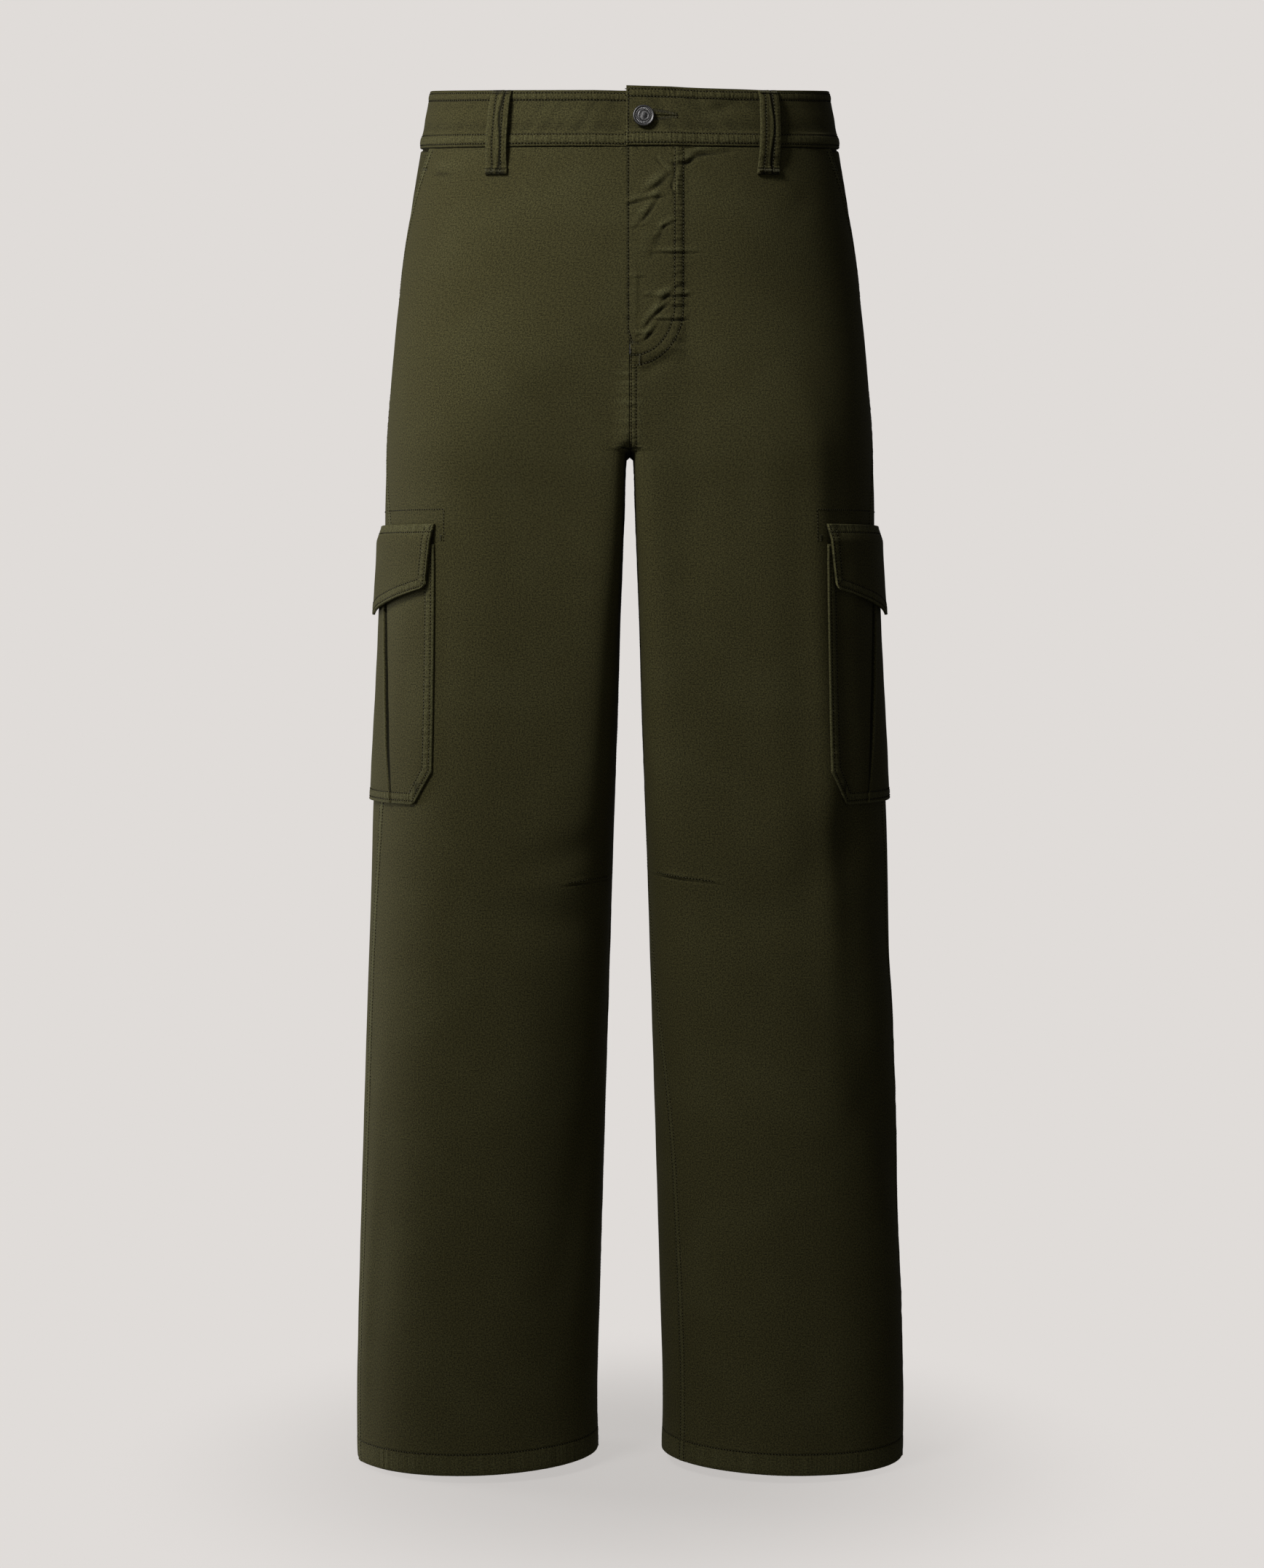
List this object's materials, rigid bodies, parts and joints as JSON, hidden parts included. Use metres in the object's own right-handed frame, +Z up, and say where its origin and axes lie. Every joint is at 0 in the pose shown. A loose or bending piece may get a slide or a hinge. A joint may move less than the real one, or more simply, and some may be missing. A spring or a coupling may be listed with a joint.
{
  "type": "cargo trousers",
  "caption": "Wide-leg cargo trousers in dark olive cotton twill, with belt loops, slanting hand pockets and flapped, box-pleated cargo pockets on the outer thighs",
  "frame": {"origin": "centre of the waist opening, at half the waistband's height", "axes": "+Z up through the waist, -Y the front, +X the wearer's left"},
  "size_m": [0.4252, 0.2469, 1.0676],
  "materials": {
    "olive_twill": "matt",
    "button_metal": "dark satin"
  },
  "bodies": {
    "root": {"front_left": "olive_twill", "front_right": "olive_twill", "back_left": "olive_twill", "back_right": "olive_twill", "waistband_left": "olive_twill", "waistband_right": "olive_twill", "pocket_facing_left": "olive_twill", "pocket_facing_right": "olive_twill", "cargo_pocket_left": "olive_twill", "cargo_pocket_right": "olive_twill", "cargo_flap_left": "olive_twill", "cargo_flap_right": "olive_twill", "belt_loop_front_left": "olive_twill", "belt_loop_front_right": "olive_twill", "belt_loop_back_left": "olive_twill", "belt_loop_back_right": "olive_twill", "belt_loop_centre_back": "olive_twill", "waist_button": "button_metal"}
  },
  "joints": []
}
